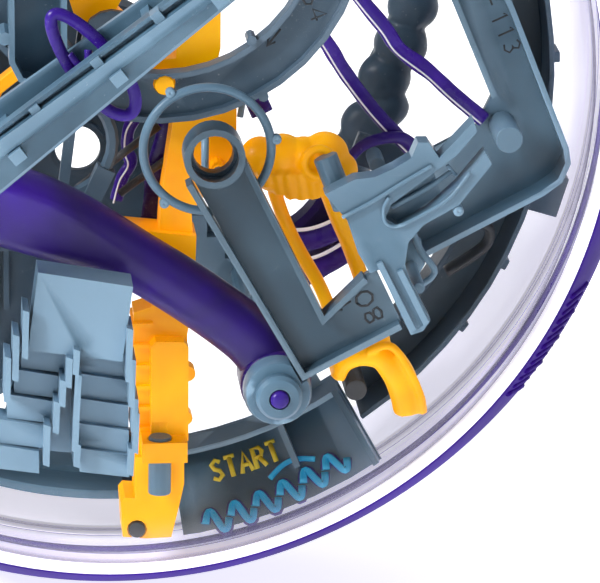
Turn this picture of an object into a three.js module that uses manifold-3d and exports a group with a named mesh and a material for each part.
// A hand-held ball maze: tracks, hoops and pockets inside a clear sphere that a purple ring holds round its middle.
// Millimetres. The origin is the centre of the sphere, the ring's axis is Y, the front faces -Y, and up is +Z.
import * as THREE from "three";
import { mergeVertices } from "three/addons/utils/BufferGeometryUtils.js";
import Module from "manifold-3d";

const wasm = await Module();
wasm.setup();

// ---- driving dimensions ----
const SHELL_OUT = 104;
const SHELL_IN = 102;
const SHELL_SIDES = 44;
const RING_OUT = 113;
const RING_HALF = 27;
const RING_FIT = 104.5;
const RING_SIDES = 60;
const BALL = 7.94;
const FLOOR = 1.6;
const WALL = 1.2;
const TRACK_IN = 82;
const TRACK_OUT = 93.2;
const TRACK_RIM = -7;
const TRACK_FLOOR = 5;
const TRACK_BACK = 7;
const START_FROM = -82;
const START_TO = -55.5;
const START_IN = 84;
const TRAY_TO = -120;
const TRAY_EDGE = [99.3, -17.6];
const CHANNEL_FRONT = -50.5;
const CHANNEL_BACK = -45.5;
const ARM_Y = -38.5;
const ARM_R = 6.6;
const ARM_PIVOT = [31.2, -55.9];

const GREY = 0x7f9fb5;
const SLATE = 0x3d4750;
const PURPLE = 0x3f1c9e;
const YELLOW = 0xffc400;
const STEEL = 0xc8ccd0;
const CLEAR = 0xe8ecf4;

// ---- helpers ----
const rad = (degrees) => (degrees * Math.PI) / 180;

const part = new THREE.Group();
part.name = "ball_maze";

function add(name, geometry, colour, look = {}) {
  const material = new THREE.MeshStandardMaterial({ color: colour, roughness: 0.4, ...look });
  material.name = `${name}_material`;
  const mesh = new THREE.Mesh(geometry, material);
  mesh.name = name;
  part.add(mesh);
}

function toSolid(geometry) {
  const bare = geometry.clone();
  bare.deleteAttribute("normal");
  bare.deleteAttribute("uv");
  const merged = mergeVertices(bare, 1e-3);
  return new wasm.Manifold(
    new wasm.Mesh({
      numProp: 3,
      vertProperties: new Float32Array(merged.attributes.position.array),
      triVerts: new Uint32Array(merged.index.array),
    }),
  );
}

function fromSolid(solid) {
  const mesh = solid.getMesh();
  const positions = new Float32Array((mesh.vertProperties.length / mesh.numProp) * 3);
  for (let i = 0; i < positions.length / 3; i += 1) {
    for (let k = 0; k < 3; k += 1) positions[3 * i + k] = mesh.vertProperties[mesh.numProp * i + k];
  }
  const geometry = new THREE.BufferGeometry();
  geometry.setAttribute("position", new THREE.BufferAttribute(positions, 3));
  geometry.setIndex(new THREE.BufferAttribute(new Uint32Array(mesh.triVerts), 1));
  geometry.computeVertexNormals();
  return geometry;
}

function join(...pieces) {
  let whole = toSolid(pieces[0]);
  for (const piece of pieces.slice(1)) whole = whole.add(toSolid(piece));
  return fromSolid(whole);
}

function cut(base, ...tools) {
  let whole = toSolid(base);
  for (const tool of tools) whole = whole.subtract(toSolid(tool));
  return fromSolid(whole);
}

function common(a, b) {
  return fromSolid(toSolid(a).intersect(toSolid(b)));
}

// A flat piece: an outline of [x, z] corners, standing from yFront back to yBack.
function slab(outline, yFront, yBack) {
  const shape = new THREE.Shape(outline.map(([x, z]) => new THREE.Vector2(x, z)));
  const geometry = new THREE.ExtrudeGeometry(shape, { depth: yBack - yFront, bevelEnabled: false });
  geometry.rotateX(rad(90));
  geometry.translate(0, yBack, 0);
  return geometry;
}

// The outline of a strip of one width that follows a line of [x, z] points.
function strip(points, width) {
  const left = [];
  const right = [];
  points.forEach(([x, z], i) => {
    const before = points[Math.max(0, i - 1)];
    const after = points[Math.min(points.length - 1, i + 1)];
    const first = new THREE.Vector2(x - before[0], z - before[1]).normalize();
    const second = new THREE.Vector2(after[0] - x, after[1] - z).normalize();
    const along = first.clone().add(second).normalize();
    const stretch = Math.min(1.6, 1 / Math.max(0.3, Math.abs(along.dot(i === 0 ? second : first))));
    const half = (width / 2) * stretch;
    left.push([x - along.y * half, z + along.x * half]);
    right.push([x + along.y * half, z - along.x * half]);
  });
  return right.concat(left.reverse());
}

function band(points, width, yFront, yBack) {
  return slab(strip(points, width), yFront, yBack);
}

// A round post or disc along Y.
function disc(x, z, radius, yFront, yBack, sides = 14) {
  const geometry = new THREE.CylinderGeometry(radius, radius, yBack - yFront, sides);
  geometry.translate(x, (yFront + yBack) / 2, z);
  return geometry;
}

// A piece of a flat ring between two angles, measured in degrees from +X towards +Z.
function sector(inner, outer, from, to, yFront, yBack, x = 0, z = 0, step = 5) {
  const count = Math.max(2, Math.ceil((to - from) / step));
  const at = (radius, k) => {
    const angle = rad(from + ((to - from) * k) / count);
    return [x + radius * Math.cos(angle), z + radius * Math.sin(angle)];
  };
  const outline = [];
  for (let k = 0; k <= count; k += 1) outline.push(at(outer, k));
  for (let k = count; k >= 0; k -= 1) outline.push(at(inner, k));
  return slab(outline, yFront, yBack);
}

// A full ring about an axis along Y through (x, z).
function ring(inner, outer, yFront, yBack, x = 0, z = 0, sides = 32) {
  const profile = [
    [inner, yFront],
    [outer, yFront],
    [outer, yBack],
    [inner, yBack],
    [inner, yFront],
  ].map(([r, y]) => new THREE.Vector2(r, y));
  const geometry = new THREE.LatheGeometry(profile, sides);
  geometry.translate(x, 0, z);
  return geometry;
}

// A block on a radius of the sphere's middle plane.
function lug(angle, inner, outer, width, yFront, yBack) {
  const geometry = new THREE.BoxGeometry(outer - inner, yBack - yFront, width);
  geometry.translate((inner + outer) / 2, (yFront + yBack) / 2, 0);
  geometry.rotateY(-rad(angle));
  return geometry;
}

// A wire ring, stretched along its own x, turned in its plane and lying at depth y.
function wireLoop(x, y, z, radius, wire, stretch, turn, lean, around = 20) {
  const geometry = new THREE.TorusGeometry(radius, wire, 6, around);
  geometry.scale(stretch, 1, 1);
  geometry.rotateZ(rad(turn));
  geometry.rotateX(rad(90));
  geometry.rotateX(rad(lean));
  geometry.translate(x, y, z);
  return geometry;
}

function rod(from, to, radius, sides = 12) {
  const a = new THREE.Vector3(...from);
  const b = new THREE.Vector3(...to);
  const geometry = new THREE.CylinderGeometry(radius, radius, a.distanceTo(b), sides);
  const turn = new THREE.Quaternion().setFromUnitVectors(new THREE.Vector3(0, 1, 0), b.clone().sub(a).normalize());
  geometry.applyQuaternion(turn);
  geometry.translate((a.x + b.x) / 2, (a.y + b.y) / 2, (a.z + b.z) / 2);
  return geometry;
}

function tube(points, radius, sides, steps) {
  const path = new THREE.CatmullRomCurve3(points.map((p) => new THREE.Vector3(...p)));
  const shape = new THREE.Shape();
  for (let k = 0; k < sides; k += 1) {
    const angle = (2 * Math.PI * k) / sides;
    if (k === 0) shape.moveTo(radius, 0);
    else shape.lineTo(radius * Math.cos(angle), radius * Math.sin(angle));
  }
  shape.closePath();
  return new THREE.ExtrudeGeometry(shape, { steps, bevelEnabled: false, extrudePath: path });
}

// ---- clear sphere ----
// One half of the sphere, side -1 for the front and +1 for the rear, with its edge just off the middle plane.
function hemisphere(side) {
  const edge = 0.3;
  const rows = 8;
  const points = [];
  const from = Math.asin(edge / SHELL_OUT);
  const fromIn = Math.asin(edge / SHELL_IN);
  for (let k = 0; k <= rows; k += 1) {
    const angle = from + ((Math.PI / 2 - from) * k) / rows;
    const radius = k === rows ? 0 : SHELL_OUT * Math.cos(angle);
    points.push([radius, side * SHELL_OUT * Math.sin(angle)]);
  }
  for (let k = rows; k >= 0; k -= 1) {
    const angle = fromIn + ((Math.PI / 2 - fromIn) * k) / rows;
    const radius = k === rows ? 0 : SHELL_IN * Math.cos(angle);
    points.push([radius, side * SHELL_IN * Math.sin(angle)]);
  }
  points.push(points[0]);
  const ordered = side > 0 ? points : points.slice().reverse();
  return new THREE.LatheGeometry(ordered.map(([r, y]) => new THREE.Vector2(r, y)), SHELL_SIDES);
}

// ---- outer ring ----
// One half of the crowned ring; its inside follows the sphere.
function outerRing(side) {
  const gap = 0.15;
  const fit = (y) => Math.sqrt(RING_FIT * RING_FIT - y * y);
  const profile = [
    [fit(gap), gap],
    [RING_OUT, gap],
    [111.1, 10],
    [108.9, 16],
    [106.8, 21],
    [104.6, 26],
    [103.7, RING_HALF],
    [fit(RING_HALF), RING_HALF],
    [fit(14), 14],
    [fit(gap), gap],
  ].map(([r, y]) => new THREE.Vector2(r, side * y));
  const ordered = side > 0 ? profile : profile.slice().reverse();
  return new THREE.LatheGeometry(ordered, RING_SIDES);
}

// ---- main track ----
function mainTrack() {
  const from = START_TO + 0.3;
  const to = TRAY_TO + 360 - 0.3;
  const pieces = [
    sector(TRACK_IN, TRACK_OUT, from, to, TRACK_FLOOR, TRACK_BACK),
    sector(TRACK_OUT - WALL, TRACK_OUT, from, to, TRACK_RIM, TRACK_BACK),
    sector(TRACK_IN, TRACK_IN + WALL, from, to, -2, TRACK_BACK),
  ];
  for (const angle of [-17, 43, 103, 163, 223]) pieces.push(lug(angle, TRACK_OUT - 1, 101, 9, 0, 4));
  for (const angle of [-37, -27, 2, 60, 85, 140, 190]) pieces.push(lug(angle, TRACK_OUT - 1, 94.6, 2.4, -5, 2));
  // inner feet that carry the posts of the pieces in front
  const feet = [
    [-52, 73], [-20, 55], [20, 58], [42, 56], [84, 73], [125.5, 45], [160, 46], [190, 62], [215, 66], [236, 52],
  ];
  for (const [angle, reach] of feet) {
    pieces.push(lug(angle, reach, TRACK_IN + 1, 7, TRACK_FLOOR, TRACK_BACK));
  }
  return join(...pieces);
}

// A plate on a radius, drawn as [r, y] corners.
function radialPlate(angle, corners, thick) {
  const shape = new THREE.Shape(corners.map(([r, y]) => new THREE.Vector2(r, y)));
  const geometry = new THREE.ExtrudeGeometry(shape, { depth: thick, bevelEnabled: false });
  geometry.translate(0, 0, -thick / 2);
  geometry.rotateY(-rad(angle));
  return geometry;
}

// A floor that rises from the inner wall forward to the sphere's inside, between two angles.
function dishedFloor(from, to) {
  const profile = [[START_IN, 1], TRAY_EDGE, [99.8, -16.2], [85.4, 3.2], [START_IN, 3.2], [START_IN, 1]];
  const cone = new THREE.LatheGeometry(profile.map(([r, y]) => new THREE.Vector2(r, y)), 72);
  return common(cone, sector(60, 110, from, to, -40, 20, 0, 0, 4));
}

function startPlatform() {
  const partition = START_FROM + 16.5;
  const end = [[START_IN, 2], [START_IN, -7], [98, -22.5], [TRAY_EDGE[0] + 0.2, -16.5], [85.4, 3]];
  return join(
    dishedFloor(START_FROM, START_TO),
    sector(START_IN, START_IN + WALL, START_FROM, START_TO, -7, 3.2, 0, 0, 4),
    radialPlate(START_TO - 0.6, end, 1.4),
    radialPlate(partition, [[START_IN, 1], [START_IN, -6], [93, -14], [93, -9]], 1.3),
    lug(-61, 59, START_IN + 1, 10, 1.2, 3.2),
  );
}

function returnTray() {
  const to = START_FROM - 0.3;
  return join(
    sector(TRACK_IN, TRACK_OUT, TRAY_TO, to, TRACK_FLOOR, TRACK_BACK),
    sector(TRACK_OUT - WALL, TRACK_OUT, TRAY_TO, to, TRACK_RIM, TRACK_BACK),
    sector(TRACK_IN, TRACK_IN + WALL, TRAY_TO, to, -2, TRACK_BACK),
    lug(-97.5, 57, TRACK_IN + 1, 7, TRACK_FLOOR, TRACK_BACK),
  );
}

// ---- channel 80, its hoop and the fork plate ----
const BOSS_80 = [17.8, -5];

function channel80() {
  const floor = [[13.2, -9.5], [36.4, -52.1], [56.7, -41.3], [51.4, -30], [49.2, -31.1], [40.3, -40], [23.6, -5.5]];
  const solid = join(
    slab(floor, CHANNEL_BACK - FLOOR, CHANNEL_BACK),
    band([[12.6, -10.5], [36.4, -52.1], [56.4, -41.5]], 1.3, CHANNEL_FRONT, CHANNEL_BACK),
    band([[23.8, -6], [40.3, -40], [49, -31.3]], 1.3, CHANNEL_FRONT, CHANNEL_BACK),
    disc(...BOSS_80, 6.3, CHANNEL_FRONT - 0.4, -43.6, 28),
    disc(19.8, -12.6, 1.4, CHANNEL_BACK - 0.2, -34.4, 10),
  );
  return cut(solid, disc(...BOSS_80, 4.9, CHANNEL_FRONT - 2, -46.8, 24), disc(...BOSS_80, 4.1, -48, -40, 20));
}

function hoop() {
  const centre = [16.7, -44.3, -4.7];
  const pieces = [wireLoop(centre[0], centre[1], centre[2], 13.1, 0.95, 1, 0, 0, 28)];
  for (const angle of [122, 8, -128]) {
    const x = centre[0] + 14.3 * Math.cos(rad(angle));
    const z = centre[2] + 14.3 * Math.sin(rad(angle));
    pieces.push(disc(x, z, 1, centre[1] - 0.9, centre[1] + 0.9, 8));
  }
  return join(...pieces);
}

function forkPlate() {
  const outline = [
    [40.3, -12.9], [46.5, -9.8], [50.5, -9.4], [54.4, -7.6], [58, -5.4], [59.3, -2.2], [61.5, -2.2], [63.7, -5.5],
    [70.7, 2.2], [71.4, -0.1], [67.3, -5.1], [61.4, -9.6], [54, -15.3], [52.8, -18.2], [55.5, -19.9], [61.7, -17],
    [67.5, -11.6], [73.2, -4.5], [74.6, -7], [67.9, -15.7], [60.8, -19.7], [57.7, -23.4], [57, -28], [58, -31.3],
    [62.5, -40.2], [61, -42.6], [58.5, -43.4], [57.4, -41.2], [51.8, -29.2], [49.8, -29.9], [47.3, -25.5], [45, -18.5],
  ].reverse();
  const slotFloor = [[52, -18.4], [54, -14.4], [62.5, -8], [64.5, -14], [56, -20.5]];
  return join(
    slab(outline, CHANNEL_FRONT, CHANNEL_BACK),
    slab(slotFloor, CHANNEL_BACK - 1.4, CHANNEL_BACK),
    band([[51.6, -27.4], [58.9, -42.2]], 1.3, CHANNEL_FRONT - 1, CHANNEL_BACK),
    band([[55.9, -29.2], [61.6, -40.8]], 1.3, CHANNEL_FRONT - 1, CHANNEL_BACK),
  );
}

// ---- the round track with its lobe ----
const ROUND = [8, 40];
const PEG_A = [8.7, 5.8];
const PEG_B = [-2.1, 15.3];

function roundTrack() {
  const front = -34;
  const back = -30;
  const [x, z] = ROUND;
  const solid = join(
    ring(31.5, 42, back - FLOOR, back, x, z, 40),
    ring(31.5, 32.7, front, back, x, z, 40),
    ring(40.8, 42, front, back, x, z, 40),
    disc(...PEG_B, 6.2, back - FLOOR, back, 16),
    slab([[-8, 15], [4, 12], [4, 4], [-12, 8]], back - FLOOR, back),
    disc(29, 3.4, 1.1, front, back, 8),
    disc(26.4, 15.6, 1.1, front - 1, back, 8),
  );
  return cut(solid, disc(...PEG_A, 2.4, -36, -29, 12), disc(...PEG_B, 2.4, -36, -29, 12));
}

// ---- long diagonal channel in front ----
const BEAM_TURN = 38;
const BEAM_AT = [-26.4, 1.8];
const along = (t, off = 0) => [
  BEAM_AT[0] + t * Math.cos(rad(BEAM_TURN)) - off * Math.sin(rad(BEAM_TURN)),
  BEAM_AT[1] + t * Math.sin(rad(BEAM_TURN)) + off * Math.cos(rad(BEAM_TURN)),
];

function beamBox(from, to, low, high, yFront, yBack) {
  return slab([along(from, low), along(to, low), along(to, high), along(from, high)], yFront, yBack);
}

// Distance from the beam's middle line to each of its long edges, at its low end and at its high end.
const BEAM_FROM = -34;
const BEAM_TO = 88;
const BEAM_EDGES = { outer: [5.1, 3.2], crest: [3.8, 0.4], fold: [0.4, -1.8], foot: [-7.9, -3.7], strip: [8.5, 3.2] };

function beamEdge(edge, t, shift = 0) {
  const share = (t - BEAM_FROM) / (BEAM_TO - BEAM_FROM);
  return along(t, THREE.MathUtils.lerp(...BEAM_EDGES[edge], share) + shift);
}

// The beam's section runs from a thin outer wall over a groove to a flat crest, then slopes down to its foot.
const BEAM_SECTION = [
  ["outer", 0, -66], ["outer", 0, -69.6], ["outer", -0.9, -69.6], ["outer", -1, -68], ["crest", 0.2, -68],
  ["crest", 0, -71], ["fold", 0, -71], ["fold", -0.5, -70.4], ["foot", 0.7, -67.6], ["foot", 0, -67], ["foot", 0, -66],
];

function beamBody() {
  const section = BEAM_SECTION.map(([edge, shift, y]) => new THREE.Vector2(BEAM_EDGES[edge][0] + shift, y));
  const geometry = new THREE.ExtrudeGeometry(new THREE.Shape(section), { depth: 1, bevelEnabled: false });
  const at = geometry.attributes.position;
  for (let i = 0; i < at.count; i += 1) {
    const here = new THREE.Vector2(at.getX(i), at.getY(i));
    const nearest = section.reduce((best, point, k) => (point.distanceTo(here) < section[best].distanceTo(here) ? k : best), 0);
    const [edge, shift, y] = BEAM_SECTION[nearest];
    const [x, z] = beamEdge(edge, at.getZ(i) > 0.5 ? BEAM_FROM : BEAM_TO, shift);
    at.setXYZ(i, x, y, z);
  }
  return geometry;
}

function diagonalChannel() {
  const strip = [beamEdge("outer", BEAM_FROM, -1.6), beamEdge("outer", 44, -1.6), beamEdge("strip", 44), beamEdge("strip", BEAM_FROM)];
  const pieces = [beamBody(), slab(strip, -60.2, -58.6)];
  for (const t of [-22.5, 3, 28.5, 54]) pieces.push(beamBox(t - 1.5, t + 1.5, -3.1, -0.6, -72.3, -67.5));
  for (const t of [-4, 11.4, 26.9, 42]) pieces.push(beamBox(t - 1.1, t + 1.1, 1.6, 4, -70.6, -67));
  for (const off of [-2.6, 1.2]) pieces.push(beamBox(15, 35, off - 0.6, off + 0.6, -66.5, -63.8));
  for (const t of [-20, 4, 40]) pieces.push(beamBox(t - 1, t + 1, 2.4, 3.8, -66.5, -58.8));
  return join(...pieces);
}

// ---- tilting purple arm ----
const ARM_LINE = [
  [-62, -12], [-45, -13.2], [-30, -16], [-17.4, -20.1], [-4.2, -26.2], [9.5, -34.4], [21.8, -43.3], [28.2, -49.4], [31.9, -56.8],
];
// The arm swells towards its free end.
const armSwell = (x) => 0.94 + 0.36 * THREE.MathUtils.smoothstep(-x, -6, 22);

function swingArm() {
  const line = ARM_LINE.map(([x, z]) => new THREE.Vector3(x, ARM_Y, z));
  const path = new THREE.CatmullRomCurve3(line);
  const centres = path.getSpacedPoints(120);
  const limb = tube(ARM_LINE.map(([x, z]) => [x, ARM_Y, z]), ARM_R, 14, 16);
  const corner = new THREE.Vector3();
  for (let i = 0; i < limb.attributes.position.count; i += 1) {
    corner.fromBufferAttribute(limb.attributes.position, i);
    const near = centres.reduce((a, b) => (a.distanceToSquared(corner) < b.distanceToSquared(corner) ? a : b));
    corner.sub(near).multiplyScalar(armSwell(near.x)).add(near);
    corner.y = Math.max(corner.y, ARM_Y - ARM_R);
    limb.attributes.position.setXYZ(i, corner.x, Math.min(corner.y, ARM_Y + ARM_R), corner.z);
  }
  const body = join(
    limb,
    disc(...ARM_PIVOT, 7.4, ARM_Y - ARM_R, ARM_Y + ARM_R, 20),
  );
  return cut(body, disc(...ARM_PIVOT, 2.2, ARM_Y - 9, ARM_Y + 9, 16));
}

// The cap's rim gives way to the channel beside it; its middle stands proud.
function armCap() {
  const profile = [
    [2.2, 0], [7.1, 0], [7.1, -3.2], [6.6, -4.4], [5.4, -5], [4.9, -5.2], [4.8, -7], [4.1, -7.9], [2.6, -8.2], [2.2, -8.2], [2.2, 0],
  ];
  const geometry = new THREE.LatheGeometry(profile.map(([r, y]) => new THREE.Vector2(r, y)).reverse(), 32);
  geometry.translate(ARM_PIVOT[0], ARM_Y - ARM_R - 0.3, ARM_PIVOT[1]);
  return cut(geometry, slab([[11.8, -11], [20, 0], [40, -20], [57, -42.3], [36, -53.6]], -60, -40));
}

// ---- stairs ----
// Each flight steps down and forward; every step's top edge falls a little to the right.
function flight(x, z, width, shift, count) {
  const drop = 4.95;
  const pieces = [];
  for (let k = 0; k < count; k += 1) {
    const [left, top] = [x + shift * k, z - drop * k];
    const right = left + width;
    pieces.push(slab([
      [left, top - drop - 0.2], [right, top - drop - 1.6], [right, top - 1.8], [left, top],
    ], -51.6 - 1.3 * k, -48));
  }
  return pieces;
}

// Thin upright fins, each given by its middle and its two ends.
function fins(list) {
  return list.map(([x, top, foot]) => slab([[x - 0.8, foot], [x + 0.5, foot - 0.5], [x + 0.8, top], [x - 0.5, top + 0.5]], -59.4, -50));
}

function stairBlock() {
  const block = slab([[-20.6, -43], [-1.4, -45.9], [0.8, -29.9], [-18.5, -26.5]], -57, -48);
  return join(
    block,
    ...flight(-10.2, -44.6, 10.2, 0, 5),
    ...flight(-21.9, -43.4, 9.4, -1.5, 5),
    slab([[-27, -66], [-0.6, -69], [-0.6, -45], [-21, -42]], -50, -48),
    ...fins([[-10.9, -42.7, -47.6], [-10.6, -48, -53.2], [-10.9, -53, -58.8], [-11.1, -58, -64.2], [-10.8, -63, -67.4]]),
    ...fins([[-12.4, -44.4, -50.2], [-13.7, -49.2, -54.3], [-15, -53.8, -60], [-17, -58.8, -67]]),
    ...fins([[-0.1, -38.4, -49.4], [0.5, -45, -54.8], [1, -53.4, -60.2], [1.2, -56.4, -64.6], [0.2, -64.2, -69.4]]),
    ...fins([[-21.2, -34.2, -43.8], [-23.2, -39.4, -48.6], [-24.9, -44, -53.2]]),
  );
}

// ---- yellow pieces ----
function yellowColumn() {
  const front = -27;
  const back = -19;
  const spine = slab([
    [12.5, 30], [11.4, 10], [6, 9.5], [6, 2], [10.9, 1], [10.6, -4.6], [8.4, -19.8], [8, -25.5], [7.8, -33], [6.3, -43.8],
    [2.6, -45], [2.9, -56], [2.9, -74.2], [2.7, -76], [13.1, -76], [13.6, -72], [13.9, -50], [14.8, -44], [15.2, -33],
    [14.7, -23.1], [24, -11], [24, -1], [17.8, 0], [20.6, 12], [20.6, 30],
  ], front, back);
  const face = slab([[6, -72.2], [13.9, -72.2], [13.9, -51.6], [13, -50.4], [7, -50.2], [6, -51.3]], front - 4, front + 1);
  const ribs = [];
  for (let z = -47; z > -74; z -= 4.6) ribs.push(slab([[2.2, z - 0.9], [6.6, z - 0.9], [6.6, z], [2.2, z]], front - 1.4, back + 2));
  const clamp = slab([[-1, -33], [15.4, -34], [15.6, -27.8], [-1, -26]], front - 2, back);
  const clip = slab([[4, -75.3], [13.4, -75.3], [13.4, -70.9], [4, -70.9]], front - 9.2, front - 0.5);
  const foot = slab([
    [0.6, -85], [2.7, -85.2], [2.7, -76], [13.1, -76], [13.1, -82.2], [11.9, -87.8], [10.4, -94.1], [5, -94.3], [0.1, -93.8], [-0.3, -86.1],
  ], front - 3, back);
  const pad = disc(19.8, -12.6, 1.4, -34.1, front + 1, 10);
  const knobs = [disc(14.1, -59.4, 1.7, -25, -21, 12), disc(13.7, -69.3, 1.5, -25, -21, 12)];
  const body = join(spine, face, clamp, clip, foot, pad, ...knobs, ...ribs);
  return cut(body, rod([7.8, -33, -68], [7.6, -33, -86], 2.7), disc(3.1, -92.2, 2.1, -32, -15, 12));
}

function yellowBracket() {
  const front = -36;
  const back = -28;
  const outline = [
    [27, -3], [31.2, -7.4], [34.5, -6.6], [37.4, -7.2], [40.7, -5], [45.2, -7.4], [48, -14.3], [46.2, -20], [42.8, -21.5],
    [45, -30], [50, -41], [56.7, -47.9], [60.3, -55.2], [63.4, -62.3], [63.8, -64.2], [61.6, -66.6], [58, -68.2], [55.3, -66.6],
    [53.4, -62.4], [52, -58.8], [49.4, -57.2], [46.4, -59], [45.4, -62.4], [43.6, -60.8], [44.6, -56.6], [44.5, -44], [38, -30], [33.6, -20], [30, -18.6], [29.4, -14.8], [27.4, -11.5],
  ].reverse();
  const bumps = [];
  for (const [x, z] of [[30.4, -12.4], [34.8, -15.2], [39.4, -17.2], [44, -17.6]]) {
    bumps.push(disc(x, z, 2.6, front - 1.6, back, 10));
  }
  const window = slab([[35.6, -22.4], [42.4, -23.4], [46.6, -31], [48.8, -36.6], [44.8, -40.4], [40.4, -32]].reverse(), -50, -20);
  return join(cut(slab(outline, front, back), window), ...bumps, slab([[50.4, -50.4], [56.4, -48.2], [60.2, -55.4], [63.2, -62.4], [63.4, -64], [58.2, -67.6], [56.3, -64.8], [53, -57]].reverse(), front - 2.6, front + 1), disc(48, -42, 2, -45.2, back, 12));
}

// ---- corner channel with its peg ----
function wall113() {
  const front = -19;
  const floor = -12;
  const back = floor + FLOOR;
  const outline = [
    [58, 42], [70.3, 17.9], [79, -3], [76, -9.5], [57, -19.5], [57, -36.5], [59.1, -39.4], [89.7, -23.5], [93.9, -20.7],
    [95.6, -16.4], [95, -13], [82.9, 17.7], [70, 44],
  ].reverse();
  return join(
    slab(outline, floor, back),
    band([[69.4, 43.6], [82.2, 17.4], [94.3, -13], [94.8, -16.2], [93.2, -20], [89.4, -22.8], [59.4, -38.6]], WALL, front, back),
    band([[58.8, 41.8], [71, 17.6], [79.4, -2.6]], WALL, floor - 3, back),
    band([[57.8, -20.2], [57.8, -37.6]], WALL, floor - 5, back),
    disc(91.2, -14.5, 1.5, floor, TRACK_RIM - 0.3, 10),
    disc(68.4, 45.6, 3, floor, back, 12),
    disc(69.3, 44.8, 1.4, floor, -2.3, 10),
  );
}

// ---- purple pieces ----
function purpleBand() {
  const pieces = [sector(16, 30, -82, -14, -6, -4, 28.5, -18, 8)];
  for (const radius of [16.8, 22.6, 29]) {
    pieces.push(sector(radius - 0.8, radius + 0.8, -82, -14, -10, -4.4, 28.5, -18, 8));
  }
  return join(...pieces);
}

function rail(points, width, yFront, yBack) {
  return join(band(points, width, yBack - 1.2, yBack), band(points, 1, yFront, yBack));
}

function wavyStrap() {
  return band([[8.6, 4], [4.4, -5], [2.4, -10], [3.4, -15], [0.6, -20], [-0.4, -25.4]], 3.6, -12, -9);
}

// ---- dark pieces behind ----
function ball(x, y, z, radius) {
  const geometry = new THREE.SphereGeometry(radius, 14, 9);
  geometry.translate(x, y, z);
  return geometry;
}

function bumpyTrack() {
  const outline = [
    [47, 44], [52, 26], [54.6, 10], [50.2, -2], [48.8, -12], [50.6, -20.5], [47.6, -28.4], [51.9, -35.2], [58.4, -33],
    [59.6, -22], [61.4, -14], [66.4, -10.5], [68, -4], [70.6, -0.5], [69.9, 9], [66, 16], [67, 26], [61, 34], [60, 46],
  ];
  const lumps = [];
  for (const [x, z, r] of [[62.5, 1, 6], [57.4, -8.6, 6.4], [56, -19, 6], [53.4, -28.4, 5.4], [61.4, 12, 6.6], [60, 23, 6.6], [55.6, 34, 7]]) {
    lumps.push(ball(x, 22, z, r));
  }
  return join(slab(outline, 23, 29), ...lumps);
}

// ---- more pieces in front, on the left and at the top ----
// A channel with a rounded lower end, open towards the front.
function cupChannel() {
  const front = -44;
  const back = -36;
  const line = [[-12.4, 46], [-12.4, 14], [-14.2, 10.4], [-17.7, 9.2], [-21.2, 10.4], [-23, 14], [-23, 44]];
  const floor = slab([...line].reverse(), back - FLOOR, back);
  return join(floor, band(line, WALL, front, back), disc(-24.4, 19, 1.4, front, back, 10), disc(-17.6, 20, 1.6, back - 1, -34.3, 10));
}

function yellowHanger() {
  return join(
    slab([[-13, 30], [-9, 17.5], [-2.1, 18.5], [1, 24], [-4, 34], [-10, 40]].reverse(), -26.5, -21),
    disc(-2.1, 15.3, 2.1, -33, -21, 12),
    disc(-2.1, 17, 3.4, -26.5, -21, 12),
  );
}

function yellowStrap() {
  return band([[-34, -1], [-29, -4], [-25.5, 3], [-21, 6.6], [-18.4, 5.4]], 2.6, -24, -20);
}

function darkHoop() {
  return join(
    wireLoop(-13, -24, -8.5, 11.4, 1.3, 1, 0, 0, 28),
    band([[-3, -14], [-6.5, -21.5], [-10, -28.4]], 4, -26, -22.4),
    band([[-12, -18.6], [-7.6, 16.6]], 2.2, -25, -23),
  );
}

function leftChannel() {
  const back = -22;
  const line = [[-12.6, -30], [-14, -44], [-20, -58], [-34, -66]];
  const far = [[-50, -46], [-46, -30]];
  return join(
    slab([...line, ...far].reverse(), back - FLOOR, back),
    band(line, WALL, back - 7, back),
    band([[-46, -30.4], [-12.4, -30.4]], WALL, back - 5, back),
    band([[-27, -31], [-27, -50]], 1.2, back - 5, back),
    band([[-24, -31], [-24, -44]], 1.2, back - 4, back),
  );
}

function leftDish() {
  const profile = [[4, 0], [20, 0], [23, -5], [24.4, -5], [21.4, 2], [4, 2], [4, 0]];
  const geometry = new THREE.LatheGeometry(profile.map(([r, y]) => new THREE.Vector2(r, y)), 28);
  geometry.translate(-62, -27, 34);
  return join(geometry, post(-62, 22.6, 2, -26, TRACK_FLOOR - 0.2));
}

function leftTrack() {
  const line = [[-78, -2], [-66, -20], [-60, -42], [-66, -52]];
  return join(
    band(line, 12, -20, -18.4),
    band(line.map(([x, z]) => [x - 6, z - 1]), WALL, -25, -18.4),
    band(line.map(([x, z]) => [x + 6, z + 1]), WALL, -25, -18.4),
    post(-67.5, -14.5, 2, -19, TRACK_FLOOR - 0.2),
  );
}

function topBridge() {
  const line = [[-44, 66], [-20, 78], [6, 82], [34, 76], [52, 64]];
  return join(band(line, 11, -46, -44.4), band(line.map(([x, z]) => [x, z - 5]), WALL, -51, -44.4), post(-14, 81, 1.8, -45, -2.3));
}

// ---- unseen side ----
function rearFunnel() {
  const profile = [[5, 12], [6.4, 12], [6.4, 8], [22, 1.6], [30, 0], [30, -6], [31.4, -6], [31.4, 1.4], [22, 3.2], [5, 10], [5, 12]];
  const geometry = new THREE.LatheGeometry(profile.map(([r, y]) => new THREE.Vector2(r, -y)).reverse(), 32);
  geometry.translate(-6, 52, -28);
  return geometry;
}

function rearRamp(line, yFront, yBack, width, ...extras) {
  const half = width / 2;
  return join(
    band(line, width, yFront, yFront + FLOOR),
    band(line.map(([x, z]) => [x, z + half]), WALL, yFront, yBack),
    band(line.map(([x, z]) => [x, z - half]), WALL, yFront, yBack),
    ...extras,
  );
}

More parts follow.
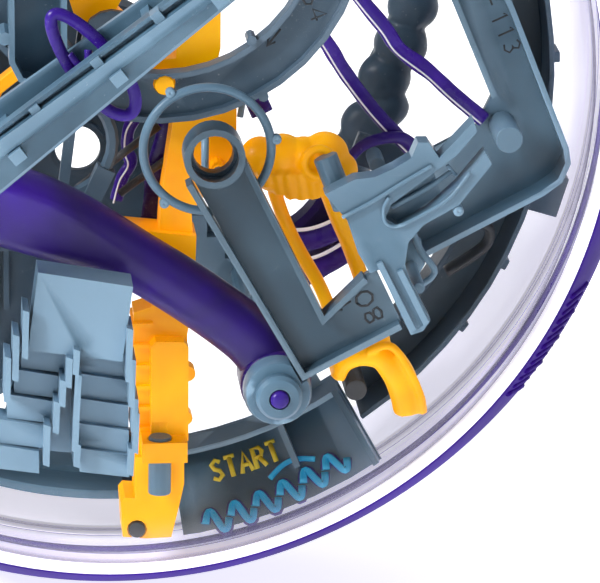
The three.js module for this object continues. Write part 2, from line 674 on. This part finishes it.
function rearColumn() {
  const ribs = [];
  for (let z = -52; z < 50; z += 9) ribs.push(slab([[-51, z], [-38, z], [-38, z + 1.6], [-51, z + 1.6]], 20, 32));
  const spine = slab([[-49, -58], [-40, -58], [-40, 54], [-49, 54]], 22, 30);
  return join(spine, ...ribs, post(-46.2, 16.8, 2, TRACK_BACK + 0.2, 23));
}

function rearStairs() {
  const pieces = [slab([[14, -66], [40, -66], [40, -58], [14, -36]], 34, 44)];
  for (let k = 0; k < 5; k += 1) pieces.push(slab([[14, -64], [34 - 4 * k, -64], [34 - 4 * k, -56 + 5 * k], [14, -56 + 5 * k]], 30, 44));
  pieces.push(post(29, -54.6, 1.8, 3.4, 31));
  return join(...pieces);
}

function rearBasket() {
  const profile = [[0, 0], [11, 0], [15, 14], [16.4, 14], [12, -1.6], [0, -1.6]];
  const geometry = new THREE.LatheGeometry(profile.map(([r, y]) => new THREE.Vector2(r, y)).reverse(), 24);
  geometry.translate(36, 40, 40);
  return join(geometry, post(43, 39, 1.8, TRACK_BACK + 0.2, 39));
}

// Feet of these pieces reach the main track, so that each is one piece with its post.
function post(x, z, radius, yFront, yBack) {
  return disc(x, z, radius, yFront, yBack, 12);
}

// ---- ball ----
// It lies on the floor of the main track, on the left.
function steelBall() {
  const reach = (TRACK_IN + TRACK_OUT) / 2;
  const geometry = new THREE.SphereGeometry(BALL / 2, 16, 10);
  geometry.translate(-reach * Math.cos(rad(8)), TRACK_FLOOR - BALL / 2 - 0.1, reach * Math.sin(rad(8)));
  return geometry;
}

// ---- assembly ----
add("front_shell", hemisphere(-1), CLEAR, { transparent: true, opacity: 0.12, roughness: 0.05 });
add("rear_shell", hemisphere(1), CLEAR, { transparent: true, opacity: 0.12, roughness: 0.05 });
add("ring_front", outerRing(-1), PURPLE);
add("ring_rear", outerRing(1), PURPLE);
add("main_track", mainTrack(), SLATE);
add("start_platform", startPlatform(), GREY);
add("return_tray", returnTray(), SLATE);
add("channel_80", channel80(), GREY);
add("hoop", hoop(), GREY);
add("fork_plate", forkPlate(), GREY);
add("round_track", roundTrack(), SLATE);
add("diagonal_channel", diagonalChannel(), GREY);
add("swing_arm", swingArm(), PURPLE, { roughness: 0.2 });
add("arm_cap", armCap(), GREY);
add("arm_pin", disc(...ARM_PIVOT, 1.9, ARM_Y - ARM_R - 9.4, 0.9, 14), PURPLE);
add("stair_block", stairBlock(), GREY);
add("yellow_column", yellowColumn(), YELLOW);
add("column_pin", rod([7.8, -33, -70.3], [7.7, -33, -83], 2.45), GREY);
add("column_foot_pin", disc(3.1, -92.2, 1.8, -30.6, TRACK_RIM - 0.3, 12), SLATE);
add("yellow_bracket", yellowBracket(), YELLOW);
add("bracket_peg", rod([41.2, -40.6, -7.6], [45.4, -41.4, -18.4], 2.6), GREY);
add("hook_pin", disc(48.9, -60.7, 2.4, -34, TRACK_FLOOR - 0.2, 12), SLATE);
add("wall_113", wall113(), GREY);
add("wall_peg", disc(81.4, -9.2, 2.9, -25, -12.2, 14), GREY);
add("purple_rail_a", rail([[37, 19], [48.4, 6], [56, -5.5], [65, -18]], 3.4, -15.5, -12.3), PURPLE);
add("purple_rail_b", rail([[42, 30], [52, 19.5], [60.6, 13.2], [69.3, 3.3], [77.6, -8]], 3.4, -15.5, -12.3), PURPLE);
add("purple_band", purpleBand(), PURPLE);
add("purple_strap", wavyStrap(), PURPLE);
add("purple_loop", wireLoop(-7.6, -62.3, 18.4, 4.3, 1.3, 3, 127, 0), PURPLE);
add("bumpy_track", bumpyTrack(), SLATE);
add("round_peg_a", disc(...PEG_A, 2.1, -33, -27.2, 12), YELLOW);
add("cup_channel", cupChannel(), GREY);
add("yellow_hanger", yellowHanger(), YELLOW);
add("yellow_strap", yellowStrap(), YELLOW);
add("dark_hoop", darkHoop(), SLATE);
add("left_channel", leftChannel(), SLATE);
add("left_dish", leftDish(), GREY);
add("left_track", leftTrack(), GREY);
add("top_bridge", topBridge(), PURPLE);
add("stair_post", post(-8, -59, 2.2, -47.7, TRACK_FLOOR - 0.2), GREY);
add("beam_post", post(...along(85), 2.5, -65.7, -31.9), GREY);
add("fork_post", post(60.6, -35, 1.3, -45.2, -12.3), GREY);
add("rail_post", post(38.6, 17.4, 1.6, -29.7, -15.8), GREY);
add("band_post", post(56, -20.4, 1.8, -3.7, TRACK_FLOOR - 0.2), GREY);
add("round_post_right", post(44.6, 40, 2.4, -29.7, TRACK_FLOOR - 0.2), GREY);
add("round_post_left", post(-28.4, 40, 2.4, -29.7, TRACK_FLOOR - 0.2), GREY);
add("round_post_top", post(8, 76.4, 2.4, -29.7, TRACK_FLOOR - 0.2), GREY);
add("bumpy_post", post(58.8, 22.6, 1.7, TRACK_BACK + 0.2, 15.1), SLATE);
add("strap_post", post(8.4, 3.4, 1.3, -18.7, -12.3), PURPLE);
add("left_channel_post", post(-27.5, -47.6, 2, -21.7, TRACK_FLOOR - 0.2), GREY);
add("rear_post", post(-8, -58.7, 1.8, TRACK_BACK + 0.2, 49.8), SLATE);
add("rear_funnel", rearFunnel(), SLATE);
add("rear_ramp_a", rearRamp([[-52, 34], [-20, 44], [20, 34], [40, 8]], 66, 73, 11, disc(-18, 40.4, 1.4, 62, 67, 10), post(-28.4, 40, 2, TRACK_BACK + 0.2, 67)), GREY);
add("rear_ramp_b", rearRamp([[-64, 4], [-58, -30], [-34, -58]], 40, 48, 11, post(-54.9, -38.4, 1.8, TRACK_BACK + 0.2, 41)), GREY);
add("rear_column", rearColumn(), YELLOW);
add("rear_stairs", rearStairs(), GREY);
add("rear_basket", rearBasket(), PURPLE);
add("rear_hoop", wireLoop(-4, 60.5, 40, 14, 1.1, 1, 0, 0, 24), PURPLE);
add("steel_ball", steelBall(), STEEL, { metalness: 1, roughness: 0.1 });

export default part;
